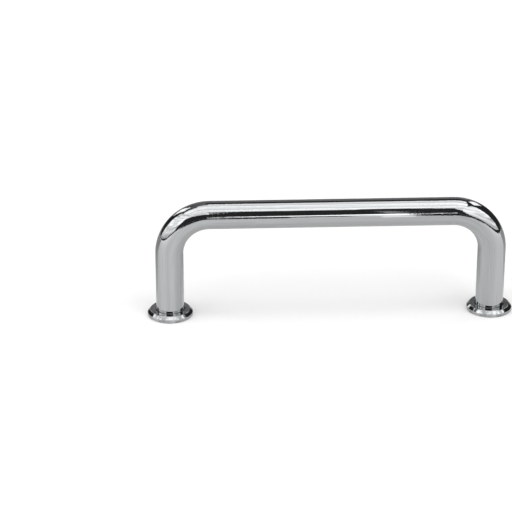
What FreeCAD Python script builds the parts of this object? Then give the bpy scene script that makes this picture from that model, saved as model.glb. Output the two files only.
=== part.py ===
import FreeCAD, Part

# A chromed grab rail for a boat: one tube bent into a low bridge, with a threaded plug soldered into
# each foot, standing on two loose cover collars. A screw comes up through the deck and through the
# hole in each collar, and pulls the foot down onto the collar's floor.
#
# Millimetres. The origin is on the deck, midway between the two feet. X runs along the rail, Z is up.

import math
import os

import Sketcher

# ---- driving dimensions ---------------------------------------------------------------------

SIZES = (
    ("bar_diameter", 16.0, "outside of the bent tube and of the plug heads"),
    ("tube_wall", 2.0, "wall of the tube"),
    ("leg_spacing", 184.0, "between the axes of the two legs"),
    ("axis_height", 61.5, "deck to the axis of the straight grip"),
    ("bend_radius", 23.0, "centreline of the two bends"),
    ("plug_head", 2.0, "thickness of the plug's head, which closes the tube's end"),
    ("spigot_diameter", 11.9, "plug inside the tube, less the solder film"),
    ("spigot_length", 20.0, "plug inside the tube"),
    ("spigot_chamfer", 1.0, "lead-in at the plug's inner end"),
    ("foot_chamfer", 0.4, "edge of the plug's end face"),
    ("tapped_diameter", 6.8, "core of the M8 thread"),
    ("tapped_depth", 18.0, "end face to the end of the thread"),
    ("drill_point_depth", 2.0, "cone at the bottom of the tapped hole"),
    ("countersink_diameter", 8.8, "mouth of the tapped hole"),
    ("collar_diameter", 26.0, "rim of the collar"),
    ("collar_top_diameter", 22.6, "outer edge of the collar's flat top"),
    ("collar_rim", 2.0, "deck to the top of the upright rim"),
    ("collar_height", 3.7, "deck to the collar's flat top"),
    ("collar_floor", 1.0, "floor of the collar, which the foot stands on"),
    ("counterbore_diameter", 16.4, "recess that takes the foot"),
    ("mouth_chamfer", 0.3, "edge of the recess"),
    ("screw_hole_diameter", 8.5, "clearance for an M8 screw in the collar's floor"),
    ("underside_chamfer", 0.3, "outer edge of the collar's underside"),
)

SIDES = (("left", "-1"), ("right", "1"))  # which end of the rail, and the sign of its X

# Handles that Sketcher's constraints take
SKETCH_ORIGIN = -1
START = 1
END = 2
CENTRE = 3

# ---- document -------------------------------------------------------------------------------

doc = FreeCAD.newDocument("grab_rail")


def make_sheet():
    """The spreadsheet that holds every driving dimension, one aliased cell each."""
    sheet = doc.addObject("Spreadsheet::Sheet", "Sizes")
    for row, (alias, value, meaning) in enumerate(SIZES, start=1):
        sheet.set(f"A{row}", str(value))
        sheet.setAlias(f"A{row}", alias)
        sheet.set(f"B{row}", meaning)
    doc.recompute()


# ---- sketches -------------------------------------------------------------------------------


def sketch_on(body, plane, name):
    """A sketch in the body, flat on one of the body's own origin planes."""
    sketch = body.newObject("Sketcher::SketchObject", name)
    support = next(feature for feature in body.Origin.OriginFeatures if feature.Role == plane)
    sketch.AttachmentSupport = [(support, "")]
    sketch.MapMode = "FlatFace"
    return sketch


def bind(sketch, constraint, expression):
    """Adds a dimension to the sketch and ties it to the sheet."""
    index = sketch.addConstraint(constraint)
    sketch.setExpression(f"Constraints[{index}]", expression)


def pin(sketch, shape, point, across, up):
    """Ties a point of a line or circle to a place given by two expressions."""
    for kind, expression in (("DistanceX", across), ("DistanceY", up)):
        value = sketch.evalExpression(expression)
        constraint = Sketcher.Constraint(kind, SKETCH_ORIGIN, START, shape, point, value)
        bind(sketch, constraint, expression)


def outline(sketch, corners):
    """A closed outline of straight lines through corners, each one given as two expressions."""
    points = [
        FreeCAD.Vector(sketch.evalExpression(across), sketch.evalExpression(up), 0)
        for across, up in corners
    ]
    for index, point in enumerate(points):
        following = points[(index + 1) % len(points)]
        sketch.addGeometry(Part.LineSegment(point, following), False)
    for index, (across, up) in enumerate(corners):
        previous = (index - 1) % len(corners)
        sketch.addConstraint(Sketcher.Constraint("Coincident", previous, END, index, START))
        pin(sketch, index, START, across, up)


def revolve(body, corners, kind, name):
    """Turns an outline of (radius, height) corners about the body's Z axis: kind adds or cuts."""
    sketch = sketch_on(body, "XZ_Plane", f"{name}_outline")
    outline(sketch, corners)
    feature = body.newObject(f"PartDesign::{kind}", name)
    feature.Profile = sketch
    feature.ReferenceAxis = (sketch, ["V_Axis"])
    feature.Angle = 360.0
    doc.recompute()
    return feature


# ---- the tube -------------------------------------------------------------------------------

FOOT = "(Sizes.collar_floor + Sizes.plug_head)"
BEND = "Sizes.bend_radius"
GRIP = "Sizes.axis_height"
LEG = "(Sizes.leg_spacing / 2)"


def arc(centre_x, centre_y, radius, first, last):
    """A circular arc from one angle to another, in degrees, anticlockwise."""
    circle = Part.Circle(FreeCAD.Vector(centre_x, centre_y, 0), FreeCAD.Vector(0, 0, 1), radius)
    return Part.ArcOfCircle(circle, math.radians(first), math.radians(last))


def draw_centreline(sketch):
    """The tube's centreline: up the left leg, over the straight grip and down the right leg."""
    foot, bend, grip, leg = (sketch.evalExpression(size) for size in (FOOT, BEND, GRIP, LEG))
    shoulder = grip - bend
    corner = leg - bend

    def line(x_from, y_from, x_to, y_to):
        start = FreeCAD.Vector(x_from, y_from, 0)
        return sketch.addGeometry(Part.LineSegment(start, FreeCAD.Vector(x_to, y_to, 0)), False)

    left_leg = line(-leg, foot, -leg, shoulder)
    left_bend = sketch.addGeometry(arc(-corner, shoulder, bend, 90, 180), False)
    straight = line(-corner, grip, corner, grip)
    right_bend = sketch.addGeometry(arc(corner, shoulder, bend, 0, 90), False)
    right_leg = line(leg, shoulder, leg, foot)

    joints = (
        (left_leg, END, left_bend, END),
        (left_bend, START, straight, START),
        (straight, END, right_bend, END),
        (right_bend, START, right_leg, START),
    )
    for joint in joints:
        sketch.addConstraint(Sketcher.Constraint("Tangent", *joint))
    sketch.addConstraint(Sketcher.Constraint("Vertical", left_leg))
    sketch.addConstraint(Sketcher.Constraint("Horizontal", straight))
    pin(sketch, left_leg, START, f"-{LEG}", FOOT)
    pin(sketch, right_leg, END, LEG, FOOT)
    for bent in (left_bend, right_bend):
        bind(sketch, Sketcher.Constraint("Radius", bent, bend), BEND)
    height = Sketcher.Constraint("DistanceY", SKETCH_ORIGIN, START, straight, START, grip)
    bind(sketch, height, GRIP)


def draw_tube_section(sketch):
    """Two circles about the left leg's axis: the outside and the inside of the tube."""
    leg = sketch.evalExpression(LEG)
    up = FreeCAD.Vector(0, 0, 1)
    for diameter in ("Sizes.bar_diameter", "(Sizes.bar_diameter - 2 * Sizes.tube_wall)"):
        radius = sketch.evalExpression(f"{diameter} / 2")
        circle = sketch.addGeometry(Part.Circle(FreeCAD.Vector(-leg, 0, 0), up, radius), False)
        pin(sketch, circle, CENTRE, f"-{LEG}", "0")
        bind(sketch, Sketcher.Constraint("Diameter", circle, 2 * radius), diameter)


def make_rail_tube():
    """The bent tube, open at both feet, where the plugs go in."""
    body = doc.addObject("PartDesign::Body", "rail_tube")
    section = sketch_on(body, "XY_Plane", "tube_section")
    section.setExpression("AttachmentOffset.Base.z", FOOT)
    draw_tube_section(section)
    centreline = sketch_on(body, "XZ_Plane", "tube_centreline")
    draw_centreline(centreline)
    doc.recompute()
    tube = body.newObject("PartDesign::AdditivePipe", "tube")
    tube.Profile = section
    tube.Spine = centreline
    doc.recompute()
    return body


# ---- the plugs and the collars --------------------------------------------------------------


def stand_at(body, sign, height):
    """Stands a turned piece on one leg's axis at a height above the deck."""
    body.setExpression("Placement.Base.x", f"{sign} * {LEG}")
    body.setExpression("Placement.Base.z", height)


def make_end_plug(side, sign):
    """A turned plug: a head as wide as the tube, a spigot inside it, and a tapped hole from below."""
    body = doc.addObject("PartDesign::Body", f"{side}_end_plug")
    head_radius = "Sizes.bar_diameter / 2"
    spigot_radius = "Sizes.spigot_diameter / 2"
    top = "(Sizes.plug_head + Sizes.spigot_length)"
    solid = (
        ("0", "0"),
        (f"{head_radius} - Sizes.foot_chamfer", "0"),
        (head_radius, "Sizes.foot_chamfer"),
        (head_radius, "Sizes.plug_head"),
        (spigot_radius, "Sizes.plug_head"),
        (spigot_radius, f"{top} - Sizes.spigot_chamfer"),
        (f"{spigot_radius} - Sizes.spigot_chamfer", top),
        ("0", top),
    )
    revolve(body, solid, "Revolution", f"{side}_plug_blank")
    blank_volume = body.Shape.Volume

    hole_radius = "Sizes.tapped_diameter / 2"
    mouth_radius = "Sizes.countersink_diameter / 2"
    hole = (
        ("0", "0"),
        (mouth_radius, "0"),
        (hole_radius, f"{mouth_radius} - {hole_radius}"),
        (hole_radius, "Sizes.tapped_depth"),
        ("0", "Sizes.tapped_depth + Sizes.drill_point_depth"),
    )
    revolve(body, hole, "Groove", f"{side}_tapped_hole")
    if not body.Shape.Volume < blank_volume:
        raise RuntimeError(f"{body.Label}: the tapped hole cut nothing")
    stand_at(body, sign, "Sizes.collar_floor")
    return body


def make_collar(side, sign):
    """A turned collar: upright rim, bevel, flat top, a recess for the foot and a hole for the screw."""
    body = doc.addObject("PartDesign::Body", f"{side}_collar")
    rim_radius = "Sizes.collar_diameter / 2"
    top_radius = "Sizes.collar_top_diameter / 2"
    recess_radius = "Sizes.counterbore_diameter / 2"
    screw_radius = "Sizes.screw_hole_diameter / 2"
    section = (
        (screw_radius, "0"),
        (f"{rim_radius} - Sizes.underside_chamfer", "0"),
        (rim_radius, "Sizes.underside_chamfer"),
        (rim_radius, "Sizes.collar_rim"),
        (top_radius, "Sizes.collar_height"),
        (f"{recess_radius} + Sizes.mouth_chamfer", "Sizes.collar_height"),
        (recess_radius, "Sizes.collar_height - Sizes.mouth_chamfer"),
        (recess_radius, "Sizes.collar_floor"),
        (screw_radius, "Sizes.collar_floor"),
    )
    revolve(body, section, "Revolution", f"{side}_collar_turning")
    stand_at(body, sign, "0")
    return body


# ---- checks and files -----------------------------------------------------------------------


def check_document(bodies):
    """Stops if anything in the document failed to build, or if a piece isn't one valid solid."""
    for thing in doc.Objects:
        if "Invalid" in thing.State or "Error" in thing.State:
            raise RuntimeError(f"{thing.Label}: {thing.State}")
    for body in bodies:
        shape = body.Shape
        if shape.isNull() or not shape.isValid() or len(shape.Solids) != 1:
            raise RuntimeError(f"{body.Label} is not one valid solid")
        box = shape.BoundBox
        print(
            f"{body.Label}: {shape.Volume:.1f} mm3, x {box.XMin:.2f} to {box.XMax:.2f},"
            f" y {box.YMin:.2f} to {box.YMax:.2f}, z {box.ZMin:.2f} to {box.ZMax:.2f}"
        )


make_sheet()
pieces = [make_rail_tube()]
for side_name, side_sign in SIDES:
    pieces.append(make_end_plug(side_name, side_sign))
    pieces.append(make_collar(side_name, side_sign))
doc.recompute()
check_document(pieces)

os.makedirs("parts", exist_ok=True)
for piece in pieces:
    piece.Shape.exportStep(f"parts/{piece.Label}.step")
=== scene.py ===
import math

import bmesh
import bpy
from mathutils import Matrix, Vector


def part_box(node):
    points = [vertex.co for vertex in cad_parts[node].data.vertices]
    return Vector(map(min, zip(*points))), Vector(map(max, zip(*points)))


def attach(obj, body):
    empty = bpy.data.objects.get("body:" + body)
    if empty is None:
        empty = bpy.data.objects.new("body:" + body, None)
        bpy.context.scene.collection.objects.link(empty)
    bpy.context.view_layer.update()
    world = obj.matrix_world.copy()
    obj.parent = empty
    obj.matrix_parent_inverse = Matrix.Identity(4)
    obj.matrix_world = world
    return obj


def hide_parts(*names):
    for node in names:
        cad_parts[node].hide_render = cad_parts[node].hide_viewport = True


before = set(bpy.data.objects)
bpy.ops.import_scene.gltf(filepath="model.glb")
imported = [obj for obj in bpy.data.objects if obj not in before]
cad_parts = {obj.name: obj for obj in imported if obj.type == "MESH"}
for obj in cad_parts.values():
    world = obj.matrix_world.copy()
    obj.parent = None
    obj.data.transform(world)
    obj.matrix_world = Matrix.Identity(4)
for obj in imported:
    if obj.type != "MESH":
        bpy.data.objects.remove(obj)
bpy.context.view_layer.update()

# A chromed grab rail on a pale floor, in a soft studio: sheets of light that the camera doesn't see,
# with dark gaps between them. Five pieces stand for the five CAD nodes.
# Metres. X runs along the rail, Z is up, and the camera stands on the -Y side.

MM = 0.001

# ---- sizes read from the frame --------------------------------------------------------------

tube_low, tube_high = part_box("rail_tube")
collar_low, collar_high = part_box("left_collar")
plug_low, plug_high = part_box("left_end_plug")

BAR_RADIUS = (tube_high.y - tube_low.y) / 2
LEG_X = tube_high.x - BAR_RADIUS
GRIP_Z = tube_high.z - BAR_RADIUS
TUBE_FOOT = tube_low.z
FOOT = plug_low.z
PLUG_TOP = plug_high.z
COLLAR_RADIUS = (collar_high.y - collar_low.y) / 2
COLLAR_HEIGHT = collar_high.z

# ---- sizes of the detail, as in the CAD model -----------------------------------------------

BEND_RADIUS = 23 * MM
TUBE_WALL = 2 * MM
SPIGOT_RADIUS = 5.95 * MM
SPIGOT_CHAMFER = 1 * MM
FOOT_CHAMFER = 0.4 * MM
THREAD_CORE = 3.4 * MM
THREAD_DEPTH = 0.55 * MM
THREAD_PITCH = 1.25 * MM
THREAD_END = FOOT + 18 * MM
THREAD_FADE = 1.2 * MM
THREAD_STEP = 0.12 * MM
GROOVE_STEEPNESS = 1.25  # over 1 leaves a flat crest between the turns
DRILL_POINT = 2 * MM
COUNTERSINK = 4.4 * MM
COLLAR_RIM = 2 * MM
COLLAR_TOP_RADIUS = 11.3 * MM
RECESS_RADIUS = 8.2 * MM
RECESS_MOUTH = 8.5 * MM
COLLAR_FLOOR = 1 * MM
SCREW_HOLE = 4.25 * MM
UNDERSIDE_CHAMFER = 0.3 * MM

EDGE = 0.18 * MM  # rounding of a polished edge
TOP_EDGE = 0.7 * MM  # rounding between a collar's bevel and its top
FINE_EDGE = 0.06 * MM  # rounding of a machined edge

AROUND = 160  # faces round the bar and round every turned piece
BEND_STEPS = 64
ARC_STEPS = 6  # steps in each rounded corner of a turned outline

# ---- meshes ---------------------------------------------------------------------------------


def mesh_object(name, points, normals, faces):
    """A smooth mesh whose shading normals are the true ones of the surface."""
    mesh = bpy.data.meshes.new(name)
    mesh.from_pydata(points, [], faces)
    mesh.update()
    for polygon in mesh.polygons:
        polygon.use_smooth = True
    mesh.normals_split_custom_set_from_vertices(normals)
    piece = bpy.data.objects.new(name, mesh)
    bpy.context.scene.collection.objects.link(piece)
    return piece


def ring_faces(start, rings, flip=False, closed=False):
    """Quads between successive rings of AROUND points."""
    faces = []
    for ring in range(rings if closed else rings - 1):
        here = start + ring * AROUND
        there = start + ((ring + 1) % rings) * AROUND
        for turn in range(AROUND):
            following = (turn + 1) % AROUND
            face = (here + turn, here + following, there + following, there + turn)
            faces.append(face[::-1] if flip else face)
    return faces


def tube_centreline():
    """Points of the bent tube's centreline, each with the direction that points out of the bend."""
    corner = LEG_X - BEND_RADIUS
    shoulder = GRIP_Z - BEND_RADIUS
    line = [(Vector((-LEG_X, 0, TUBE_FOOT)), Vector((-1, 0, 0)))]
    for side, first, last in ((-1, 180, 90), (1, 90, 0)):
        for step in range(BEND_STEPS + 1):
            angle = math.radians(first + (last - first) * step / BEND_STEPS)
            outward = Vector((math.cos(angle), 0, math.sin(angle)))
            line.append((Vector((side * corner, 0, shoulder)) + BEND_RADIUS * outward, outward))
    line.append((Vector((LEG_X, 0, TUBE_FOOT)), Vector((1, 0, 0))))
    return line


def tube_wall(line, radius, inward):
    """One wall of the tube: points, normals, and where each point lies on the tube before bending."""
    across = Vector((0, -1, 0))
    points, normals, unbent = [], [], []
    travelled = 0.0
    for index, (centre, outward) in enumerate(line):
        if index:
            travelled += (centre - line[index - 1][0]).length
        for turn in range(AROUND):
            angle = 2 * math.pi * turn / AROUND
            normal = math.cos(angle) * outward + math.sin(angle) * across
            points.append(centre + radius * normal)
            normals.append(-normal if inward else normal)
            unbent.append((travelled, radius * math.sin(angle), radius * math.cos(angle)))
    return points, normals, unbent


def make_tube():
    """The bent tube, with its inner wall and its two cut ends."""
    line = tube_centreline()
    rings = len(line)
    outer = tube_wall(line, BAR_RADIUS, inward=False)
    inner = tube_wall(line, BAR_RADIUS - TUBE_WALL, inward=True)
    points, normals, unbent = (a + b for a, b in zip(outer, inner))
    faces = ring_faces(0, rings) + ring_faces(rings * AROUND, rings, flip=True)
    for ring, flip in ((0, True), (rings - 1, False)):
        start = len(points)
        for wall in (0, rings * AROUND):
            for source in range(wall + ring * AROUND, wall + (ring + 1) * AROUND):
                points.append(points[source])
                normals.append(Vector((0, 0, -1)))
                unbent.append(unbent[source])
        faces += ring_faces(start, 2, flip)
    tube = mesh_object("polished_tube", points, normals, faces)
    straight = tube.data.attributes.new("unbent", "FLOAT_VECTOR", "POINT")
    for index, place in enumerate(unbent):
        straight.data[index].vector = place
    return tube


def right_of(direction):
    """The 2-D direction a quarter turn to the right, which is outward where the metal is on the left."""
    return Vector((direction.y, -direction.x))


def rounded_corner(before, here, after, rounding):
    """Points and normals of the arc that rounds the corner at here."""
    arriving = (here - before).normalized()
    leaving = (after - here).normalized()
    turn = arriving.angle_signed(leaving)
    convex = right_of(arriving).dot(leaving) < 0
    centre = here + (leaving - arriving).normalized() * rounding / math.cos(turn / 2)
    arc = []
    for step in range(ARC_STEPS + 1):
        normal = right_of(arriving).slerp(right_of(leaving), step / ARC_STEPS)
        arc.append((centre + normal * (rounding if convex else -rounding), normal))
    return arc


def turned_outline(corners, closed):
    """Points and normals along (radius, height, rounding) corners, with the metal on the left."""
    places = [Vector(corner[:2]) for corner in corners]
    outline = []
    for index, (place, corner) in enumerate(zip(places, corners)):
        following = places[(index + 1) % len(places)]
        if closed or 0 < index < len(places) - 1:
            outline += rounded_corner(places[index - 1], place, following, corner[2])
        else:
            along = following - place if index == 0 else place - places[index - 1]
            outline.append((place, right_of(along.normalized())))
    return outline


def turn_piece(name, outline, leg_x, closed):
    """A piece turned about a leg's axis from its outline. The object's own origin is on that axis."""
    points, normals = [], []
    for place, normal in outline:
        for turn in range(AROUND):
            angle = 2 * math.pi * turn / AROUND
            spoke = Vector((math.cos(angle), math.sin(angle), 0))
            points.append(spoke * place.x + Vector((0, 0, place.y)))
            normals.append(spoke * normal.x + Vector((0, 0, normal.y)))
    faces = ring_faces(0, len(outline), closed=closed)
    piece = mesh_object(name, points, normals, faces)
    piece.location.x = leg_x
    return piece


def make_collar(side, leg_x):
    """A bevelled collar with a recess for the foot and a hole for the screw."""
    corners = (
        (SCREW_HOLE, 0, FINE_EDGE),
        (COLLAR_RADIUS - UNDERSIDE_CHAMFER, 0, FINE_EDGE),
        (COLLAR_RADIUS, UNDERSIDE_CHAMFER, EDGE),
        (COLLAR_RADIUS, COLLAR_RIM, EDGE),
        (COLLAR_TOP_RADIUS, COLLAR_HEIGHT, TOP_EDGE),
        (RECESS_MOUTH, COLLAR_HEIGHT, FINE_EDGE),
        (RECESS_RADIUS, COLLAR_HEIGHT - (RECESS_MOUTH - RECESS_RADIUS), FINE_EDGE),
        (RECESS_RADIUS, COLLAR_FLOOR, FINE_EDGE),
        (SCREW_HOLE, COLLAR_FLOOR, FINE_EDGE),
    )
    outline = turned_outline(corners, closed=True)
    return turn_piece(f"{side}_bevelled_collar", outline, leg_x, closed=True)


def thread_height(angle, height):
    """How far the thread's groove runs into the wall at a place in the tapped hole, from 0 to 1."""
    phase = (height / THREAD_PITCH - angle / (2 * math.pi)) % 1
    groove = max(0.0, 1 - abs(2 * phase - 1) * GROOVE_STEEPNESS)
    lead_in = min(1.0, max(0.0, (height - FOOT) / THREAD_FADE))
    run_out = min(1.0, max(0.0, (THREAD_END - height) / THREAD_FADE))
    return groove * lead_in * run_out


def make_plug(side, leg_x):
    """A turned end plug with its tapped hole, countersink and threaded wall."""
    wall_foot = FOOT + COUNTERSINK - THREAD_CORE
    wall_length = THREAD_END - wall_foot
    rows = round(wall_length / THREAD_STEP)
    tip = [(Vector((0, THREAD_END + DRILL_POINT)), Vector((0, -1)))]
    wall = [
        (Vector((THREAD_CORE, THREAD_END - wall_length * row / rows)), Vector((-1, 0)))
        for row in range(rows)
    ]
    corners = (
        (THREAD_CORE, wall_foot + FINE_EDGE * 2, 0),
        (THREAD_CORE, wall_foot, FINE_EDGE),
        (COUNTERSINK, FOOT, FINE_EDGE),
        (BAR_RADIUS - FOOT_CHAMFER, FOOT, FINE_EDGE),
        (BAR_RADIUS, FOOT + FOOT_CHAMFER, FINE_EDGE),
        (BAR_RADIUS, TUBE_FOOT, FINE_EDGE),
        (SPIGOT_RADIUS, TUBE_FOOT, FINE_EDGE),
        (SPIGOT_RADIUS, PLUG_TOP - SPIGOT_CHAMFER, FINE_EDGE),
        (SPIGOT_RADIUS - SPIGOT_CHAMFER, PLUG_TOP, FINE_EDGE),
        (0, PLUG_TOP, 0),
    )
    outline = tip + wall + turned_outline(corners, closed=False)
    plug = turn_piece(f"{side}_threaded_plug", outline, leg_x, closed=False)
    for vertex in plug.data.vertices:
        spoke = Vector((vertex.co.x, vertex.co.y, 0))
        if wall_foot < vertex.co.z < THREAD_END and spoke.length < THREAD_CORE + FINE_EDGE:
            depth = THREAD_DEPTH * thread_height(math.atan2(spoke.y, spoke.x), vertex.co.z)
            vertex.co += spoke.normalized() * depth
    return plug


# ---- materials ------------------------------------------------------------------------------

CHROME = (0.432, 0.442, 0.448)
DULL_BAR = 0.74  # share of the chrome's brightness that is left in its dullest smears
DULL_TURNED = 0.62  # the same, on the turned pieces
TOP_MARKS = 0.1  # share of the tool marks that polishing leaves on a collar's flat top
PIT_CELLS = 160.0  # cells per metre, each with one pit
PIT_RADIUS = 0.05  # in cells
NOISE_ROUGHNESS = 0.55


class Nodes:
    """A new material and its node tree, with one short call for each node and its links."""

    def __init__(self, name):
        self.material = bpy.data.materials.new(name)
        self.material.use_nodes = True
        self.tree = self.material.node_tree
        self.tree.nodes.clear()

    def add(self, kind, inputs=None, **settings):
        """A node of a kind, with its settings and its inputs, which are values or other sockets."""
        node = self.tree.nodes.new(kind)
        for name, value in settings.items():
            setattr(node, name, value)
        for key, value in (inputs or {}).items():
            if isinstance(value, bpy.types.NodeSocket):
                self.tree.links.new(value, node.inputs[key])
            else:
                node.inputs[key].default_value = value
        return node

    def math(self, operation, first, second=0.0):
        """The result of one Math node."""
        return self.add("ShaderNodeMath", {0: first, 1: second}, operation=operation).outputs[0]

    def ramp(self, value, start, end, low=0.0, high=1.0):
        """A value from start to end mapped to low..high, and held there outside."""
        ends = {"From Min": start, "From Max": end, "To Min": low, "To Max": high}
        return self.add("ShaderNodeMapRange", {"Value": value, **ends}).outputs["Result"]

    def spread(self, value, low, high):
        """A value from 0 to 1 mapped to low..high."""
        return self.ramp(value, 0.0, 1.0, low, high)

    def place(self):
        """A point's place in its object's own frame."""
        return self.add("ShaderNodeTexCoord").outputs["Object"]

    def split(self, vector):
        """The three parts of a vector."""
        return self.add("ShaderNodeSeparateXYZ", {0: vector}).outputs

    def noise(self, vector, scale, detail, stretch=(1, 1, 1)):
        """Noise of a scale per metre, drawn out along the axes whose stretch is small."""
        places = self.add("ShaderNodeMapping", {"Vector": vector, "Scale": stretch}).outputs[0]
        inputs = {"Vector": places, "Scale": scale, "Detail": detail, "Roughness": NOISE_ROUGHNESS}
        return self.add("ShaderNodeTexNoise", inputs).outputs["Fac"]

    def bump(self, relief, height, strength, normal=None):
        """A bump of a real height in metres."""
        inputs = {"Height": relief, "Distance": height, "Strength": strength}
        if normal:
            inputs["Normal"] = normal
        return self.add("ShaderNodeBump", inputs).outputs[0]

    def light(self, strength):
        """A shader that gives off white light."""
        return self.add("ShaderNodeEmission", {"Color": (1, 1, 1, 1), "Strength": strength}).outputs[0]

    def surface(self, shader):
        """Makes a shader the material's surface."""
        self.add("ShaderNodeOutputMaterial", {"Surface": shader})


def smeared_chrome(nodes, share_left, tint, roughness, normal):
    """Chrome of a gloss and shape, which keeps a share of its brightness where the tint is low."""
    mix = nodes.add("ShaderNodeMix", {"Factor": tint}, data_type="RGBA")
    mix.inputs["A"].default_value = [*(channel * share_left for channel in CHROME), 1]
    mix.inputs["B"].default_value = [*CHROME, 1]
    inputs = {"Base Color": mix.outputs["Result"], "Roughness": roughness, "Normal": normal}
    shader = nodes.add("ShaderNodeBsdfPrincipled", {**inputs, "Metallic": 1.0})
    nodes.surface(shader.outputs[0])
    return nodes.material


def bar_chrome():
    """Chrome over a tube polished along its length, rougher where it was bent."""
    nodes = Nodes("bar_chrome")
    along = nodes.add("ShaderNodeAttribute", attribute_name="unbent").outputs["Vector"]
    half_length = LEG_X + GRIP_Z - TUBE_FOOT - (2 - math.pi / 2) * BEND_RADIUS
    from_middle = nodes.math("ABSOLUTE", nodes.math("SUBTRACT", nodes.split(along)[0], half_length))
    peel_start = LEG_X - 2.6 * BEND_RADIUS
    bend_start = LEG_X - BEND_RADIUS
    near_bend = nodes.ramp(from_middle, peel_start, bend_start)

    bands = nodes.noise(along, scale=230, detail=2, stretch=(0.012, 1, 1))
    scratches = nodes.noise(along, scale=1500, detail=2, stretch=(0.02, 1, 1))
    streaks = nodes.noise(along, scale=900, detail=3, stretch=(0.05, 1, 1))
    ripple = nodes.noise(along, scale=110, detail=2, stretch=(0.35, 1, 1))
    peel = nodes.noise(along, scale=1800, detail=2, stretch=(0.5, 1, 1))
    smears = nodes.noise(along, scale=60, detail=4)
    cells = nodes.add("ShaderNodeTexVoronoi", {"Vector": along, "Scale": PIT_CELLS})
    beside_pits = nodes.math("GREATER_THAN", cells.outputs["Distance"], PIT_RADIUS)

    rippled = nodes.bump(ripple, height=0.05 * MM, strength=0.6)
    streaked = nodes.bump(streaks, height=0.01 * MM, strength=0.6, normal=rippled)
    peel_strength = nodes.spread(near_bend, 0.12, 1.0)
    peeled = nodes.bump(peel, height=0.018 * MM, strength=peel_strength, normal=streaked)
    pitted = nodes.bump(beside_pits, height=0.02 * MM, strength=0.4, normal=peeled)

    hairlines = nodes.ramp(scratches, 0.6, 0.68, high=0.8)
    tint = nodes.math("SUBTRACT", nodes.spread(bands, -0.4, 1.9), hairlines)
    return smeared_chrome(nodes, DULL_BAR, tint, nodes.spread(smears, 0.0, 0.045), pitted)


def turned_chrome(name, mark_height, swell_height, smoothest, roughest):
    """Chrome over a turned piece: fine tool marks round its axis, and the swell that polishing leaves."""
    nodes = Nodes(name)
    place = nodes.place()
    x, y, z = nodes.split(place)
    squares = nodes.math("ADD", nodes.math("MULTIPLY", x, x), nodes.math("MULTIPLY", y, y))
    radius = nodes.math("SQRT", squares)
    section = nodes.add("ShaderNodeCombineXYZ", {0: radius, 2: z}).outputs[0]

    rings = nodes.noise(section, scale=4500, detail=2)
    swell = nodes.noise(place, scale=250, detail=2)
    smears = nodes.noise(place, scale=180, detail=4)
    patches = nodes.noise(place, scale=300, detail=2)

    swollen = nodes.bump(swell, height=swell_height, strength=0.6)
    below_top = nodes.ramp(z, COLLAR_HEIGHT - TOP_EDGE / 2, COLLAR_HEIGHT, low=1.0, high=TOP_MARKS)
    ringed = nodes.bump(rings, height=mark_height, strength=below_top, normal=swollen)
    roughness = nodes.spread(smears, smoothest, roughest)
    return smeared_chrome(nodes, DULL_TURNED, nodes.spread(patches, -1.2, 2.2), roughness, ringed)


# ---- studio ---------------------------------------------------------------------------------

CEILING = 1.6  # m above the grip
PANEL_DISTANCE = 1.4
LAMP_DISTANCE = 1.5
FRONT_CARD_Y = -1.1
STREAK_LOW, STREAK_HIGH = -0.57, 2.85  # share of a sheet's brightness at the two ends of its noise
DARK = 0.03  # brightness of a painted dark reflection on the floor
ROOM_LIGHT = 0.04  # brightness of the dark room round the sheets
FLOOR_COLOUR = (0.88, 0.88, 0.88, 1)
FLOOR_RADIUS = 1.7
FLOOR_STEPS = 96
GLOW = 0.7  # brightness of the floor's own glow where it is full
GLOW_START, GLOW_END = 0.2, 1.5  # m from the rail's middle, between which the glow grows
BACKDROP_RADIUS = 6
CARD_FADE = 0.06  # m behind the rail, where the card behind it has its far brightness


def add_stage(name, mesh, nodes, hidden_from=()):
    """Adds a mesh that isn't part of the object, unseen by some kinds of ray."""
    mesh.materials.append(nodes.material)
    stage = bpy.data.objects.new(name, mesh)
    bpy.context.scene.collection.objects.link(stage)
    for kind in hidden_from:
        setattr(stage, f"visible_{kind}", False)


def towards(azimuth, elevation):
    """The direction at an azimuth, 0 towards the camera and 90 along +X, and an elevation."""
    a, e = math.radians(azimuth), math.radians(elevation)
    return Vector((math.sin(a) * math.cos(e), -math.cos(a) * math.cos(e), math.sin(e)))


def lamp_sheet(name, corners, edge, middle):
    """A sheet of light between four corners, streaked along its first edge and brightest half way up."""
    mesh = bpy.data.meshes.new(name)
    mesh.from_pydata(corners, [], [(0, 1, 2, 3)])
    layer = mesh.uv_layers.new(name="sheet")
    for loop, corner in zip(layer.data, ((0, 0), (1, 0), (1, 1), (0, 1))):
        loop.uv = corner
    nodes = Nodes(name)
    place = nodes.add("ShaderNodeUVMap", uv_map="sheet").outputs[0]
    off_centre = nodes.math("ABSOLUTE", nodes.math("SUBTRACT", nodes.split(place)[1], 0.5))
    level = nodes.spread(nodes.math("MULTIPLY", off_centre, 2.0), middle, edge)
    streaks = nodes.noise(place, scale=3.0, detail=2, stretch=(0.4, 2.4, 1))
    strength = nodes.math("MULTIPLY", level, nodes.spread(streaks, STREAK_LOW, STREAK_HIGH))
    nodes.surface(nodes.light(strength))
    add_stage(name, mesh, nodes, hidden_from=("camera", "shadow"))


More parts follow.
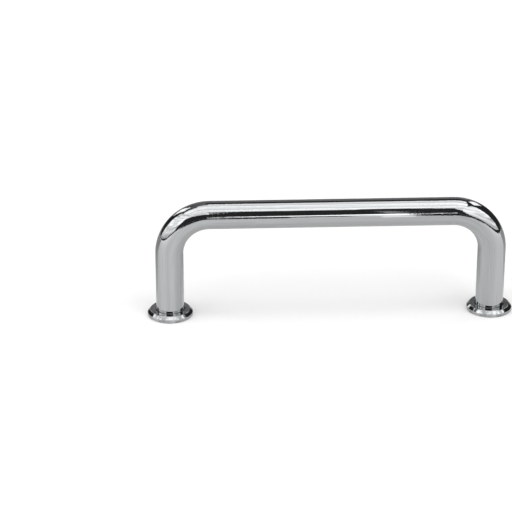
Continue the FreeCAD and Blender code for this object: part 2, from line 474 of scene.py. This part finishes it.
def wall_sheet(name, facing, azimuths, lows, high, edge, middle):
    """An upright sheet facing the rail, between two azimuths, from two low elevations to a level top."""
    outward = towards(facing, 0)
    sideways = towards(facing + 90, 0)
    left, right = (math.tan(math.radians(azimuth - facing)) for azimuth in azimuths)
    low_left, low_right, top = (math.tan(math.radians(elevation)) for elevation in (*lows, high))
    middle_of_wall = outward * PANEL_DISTANCE + Vector((0, 0, GRIP_Z))
    corners = [
        middle_of_wall + (sideways * side + Vector((0, 0, height))) * PANEL_DISTANCE
        for side, height in ((left, low_left), (right, low_right), (right, top), (left, top))
    ]
    lamp_sheet(name, corners, edge, middle)


def ceiling_sheet(name, left_right, front_back, edge, middle):
    """A level sheet above the rail, between two X and two Y."""
    (left, right), (front, back) = left_right, front_back
    places = ((left, front), (right, front), (right, back), (left, back))
    lamp_sheet(name, [Vector((x, y, GRIP_Z + CEILING)) for x, y in places], edge, middle)


def sky_sheet(name, corners, edge, middle, distance=LAMP_DISTANCE):
    """A sheet hung between four (azimuth, elevation) corners, anticlockwise from its lower left."""
    lamp_sheet(name, [towards(*corner) * distance for corner in corners], edge, middle)


def upright_card(name, corners, edge, middle, y=FRONT_CARD_Y):
    """A small sheet of light that stands square on in front of the rail, from its corners' X and Z."""
    lamp_sheet(name, [Vector((x, y, z)) for x, z in corners], edge, middle)


def build_lamps():
    """White sheets left, right and overhead, two lamps and dim walls behind, and dark between them."""
    ceiling_sheet("front_left_ceiling", (-1.42, 0.2), (-1.52, -0.66), 1.38, 1.97)
    ceiling_sheet("front_right_ceiling", (0.2, 1.05), (-1.34, -0.66), 1.38, 1.97)
    ceiling_sheet("mid_ceiling", (-1.42, 0.91), (-0.66, 0.3), 1.38, 2.24)
    ceiling_sheet("back_ceiling", (-0.6, 0.88), (0.3, 0.91), 1.38, 1.92)
    wall_sheet("left_panel", -75, (-110, -36), (-1.5, 2.5), 49, 0.96, 2.08)
    wall_sheet("right_panel", 62, (20, 90), (2.5, 2.5), 56.5, 1.06, 2.08)
    sky_sheet("front_left_panel", ((-38, 30), (-3, 28), (-2, 47), (-38, 46)), 1.22, 1.44)
    sky_sheet("front_right_corner", ((20, 31), (25, 31), (25, 52), (12, 48)), 1.28, 1.49)
    sky_sheet("back_left_lamp", ((-154, 15), (-142, 15), (-122, 45), (-140, 48)), 1.81, 2.45)
    sky_sheet("back_right_lamp", ((137, 24), (150, 22), (137, 47), (112, 48)), 1.81, 2.45)
    sky_sheet("back_wall", ((156, -2), (205, -2), (205, 39), (150, 39)), 0.19, 0.26, distance=1.7)
    sky_sheet("back_left_wall", ((-172, 40), (-135, 40), (-122, 60), (-172, 70)), 0.16, 0.27, distance=1.8)


def build_front_cards():
    """Small cards of light below the camera and to its right, across the dark that the rail sees there."""
    under_camera = ((-0.03, 0.08), (0.168, 0.005), (0.168, 0.235), (-0.03, 0.15))
    low_left = ((-0.075, 0.11), (-0.032, 0.08), (-0.032, 0.15), (-0.075, 0.15))
    sparkle = ((0.18, 0.15), (0.25, 0.15), (0.25, 0.225), (0.18, 0.225))
    camera_edge = ((0.15, 0.2), (0.178, 0.2), (0.178, 0.85), (0.15, 0.85))
    upright_card("under_camera_card", under_camera, 2.13, 2.98)
    upright_card("low_left_card", low_left, 1.06, 1.49)
    upright_card("sparkle_card", sparkle, 1.38, 2.13)
    upright_card("camera_edge_card", camera_edge, 0.11, 0.53, y=-1.2)


def floor_card(name, outline, brightness, far_brightness=None, height=0.5 * MM):
    """A level card that only the chrome reflects, and that may fade to a far brightness behind the rail."""
    mesh = bpy.data.meshes.new(name)
    mesh.from_pydata([(x, y, height) for x, y in outline], [], [tuple(range(len(outline)))])
    nodes = Nodes(name)
    strength = brightness
    if far_brightness is not None:
        behind = nodes.split(nodes.place())[1]
        strength = nodes.ramp(behind, 0.0, CARD_FADE, brightness, far_brightness)
    nodes.surface(nodes.light(strength))
    add_stage(name, mesh, nodes, hidden_from=("camera", "diffuse", "shadow"))


def build_floor_cards():
    """Painted reflections on the floor: dark patches, the strips across them, and a greyer floor behind."""
    behind = (
        (-1.3, 0.016),
        (-0.078, 0.016),
        (-0.074, 0.002),
        (0.074, 0.002),
        (0.078, 0.016),
        (1.3, 0.016),
        (1.3, 1.5),
        (-1.3, 1.5),
    )
    left_gap = (
        (-0.41, -0.9),
        (-0.41, -1.5),
        (0.17, -1.5),
        (0.05, -0.5),
        (0.0, -0.42),
        (-0.01, -0.27),
        (-0.09, -0.235),
    )
    right_gap = ((0.08, -0.4), (0.21, -1.5), (0.56, -1.5), (0.56, -0.85), (0.25, -0.45), (0.1, -0.24))
    back_left_gap = (
        (-0.95, 0.55),
        (-1.3, 0.9),
        (-0.55, 1.15),
        (-0.12, 0.4),
        (-0.1, 0.26),
        (-0.25, 0.42),
    )
    back_right_gap = ((0.85, 0.4), (1.5, 0.55), (0.45, 1.5), (0.13, 0.45), (0.2, 0.3), (0.38, 0.32))
    white_strip = ((0.044, -0.17), (0.138, -1.1), (0.17, -1.1), (0.066, -0.17))
    left_strip = ((-0.07, -0.42), (-0.068, -1.05), (-0.03, -1.05), (-0.045, -0.42))
    floor_card("grey_behind", behind, 0.97, 0.52, 0.3 * MM)
    floor_card("left_gap", left_gap, DARK)
    floor_card("back_left_gap", back_left_gap, DARK)
    floor_card("back_right_gap", back_right_gap, DARK)
    floor_card("right_gap", right_gap, DARK)
    floor_card("white_strip", white_strip, 1.8)
    floor_card("left_strip", left_strip, 0.85, height=0.7 * MM)


def build_floor():
    """A plain pale floor, round, which glows a little towards its edge so that it ends in white."""
    mesh = bpy.data.meshes.new("floor")
    turns = [2 * math.pi * step / FLOOR_STEPS for step in range(FLOOR_STEPS)]
    rim = [(FLOOR_RADIUS * math.cos(turn), FLOOR_RADIUS * math.sin(turn), 0) for turn in turns]
    mesh.from_pydata(rim, [], [tuple(range(FLOOR_STEPS))])
    nodes = Nodes("floor")
    from_middle = nodes.add("ShaderNodeVectorMath", {0: nodes.place()}, operation="LENGTH")
    glow = nodes.ramp(from_middle.outputs["Value"], GLOW_START, GLOW_END, 0.0, GLOW)
    paper = nodes.add("ShaderNodeBsdfDiffuse", {"Color": FLOOR_COLOUR})
    shader = nodes.add("ShaderNodeAddShader", {0: paper.outputs[0], 1: nodes.light(glow)})
    nodes.surface(shader.outputs[0])
    add_stage("floor", mesh, nodes)


def build_backdrop():
    """A white dome round the floor, which only the camera sees."""
    mesh = bpy.data.meshes.new("backdrop")
    shape = bmesh.new()
    bmesh.ops.create_uvsphere(shape, u_segments=48, v_segments=24, radius=BACKDROP_RADIUS)
    shape.to_mesh(mesh)
    shape.free()
    nodes = Nodes("backdrop")
    nodes.surface(nodes.light(1.0))
    add_stage("backdrop", mesh, nodes, hidden_from=("diffuse", "glossy", "shadow"))


def set_world():
    """The dark room round the sheets of light."""
    world = bpy.data.worlds.new("dark_room")
    world.use_nodes = True
    background = world.node_tree.nodes["Background"]
    background.inputs["Color"].default_value = (1, 1, 1, 1)
    background.inputs["Strength"].default_value = ROOM_LIGHT
    bpy.context.scene.world = world
    bpy.context.scene.view_settings.view_transform = "Standard"


# ---- camera ---------------------------------------------------------------------------------

CAMERA_PLACE = Vector((-0.0901, -1.1322, 0.5521))
CAMERA_PITCH = 24.503  # degrees below level
CAMERA_YAW = 2.397  # degrees to the right of square on
LENS = 153.8  # mm
SENSOR = 36  # mm


def place_camera():
    """A long lens that looks slightly down at the rail."""
    camera = bpy.data.cameras.new("camera")
    camera.lens = LENS
    camera.sensor_width = SENSOR
    holder = bpy.data.objects.new("camera", camera)
    holder.location = CAMERA_PLACE
    holder.rotation_euler = (math.radians(90 - CAMERA_PITCH), 0, -math.radians(CAMERA_YAW))
    bpy.context.scene.collection.objects.link(holder)
    bpy.context.scene.camera = holder


# ---- the rail and its studio ----------------------------------------------------------------


def finish_piece(piece, body, node, material):
    """Gives a piece its material and body, and hides the CAD node that it stands for."""
    piece.data.materials.append(material)
    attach(piece, body)
    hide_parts(node)


place_camera()
set_world()
build_floor()
build_backdrop()
build_lamps()
build_front_cards()
build_floor_cards()

finish_piece(make_tube(), "rail", "rail_tube", bar_chrome())
plug_metal = turned_chrome("plug_chrome", 0.01 * MM, 0.01 * MM, smoothest=0.08, roughest=0.2)
collar_metal = turned_chrome("collar_chrome", 0.012 * MM, 0.09 * MM, smoothest=0.02, roughest=0.09)
for side, leg_x in (("left", -LEG_X), ("right", LEG_X)):
    plug = make_plug(side, leg_x)
    finish_piece(plug, "rail", f"{side}_end_plug", plug_metal)
    collar = make_collar(side, leg_x)
    finish_piece(collar, f"{side}_collar", f"{side}_collar", collar_metal)
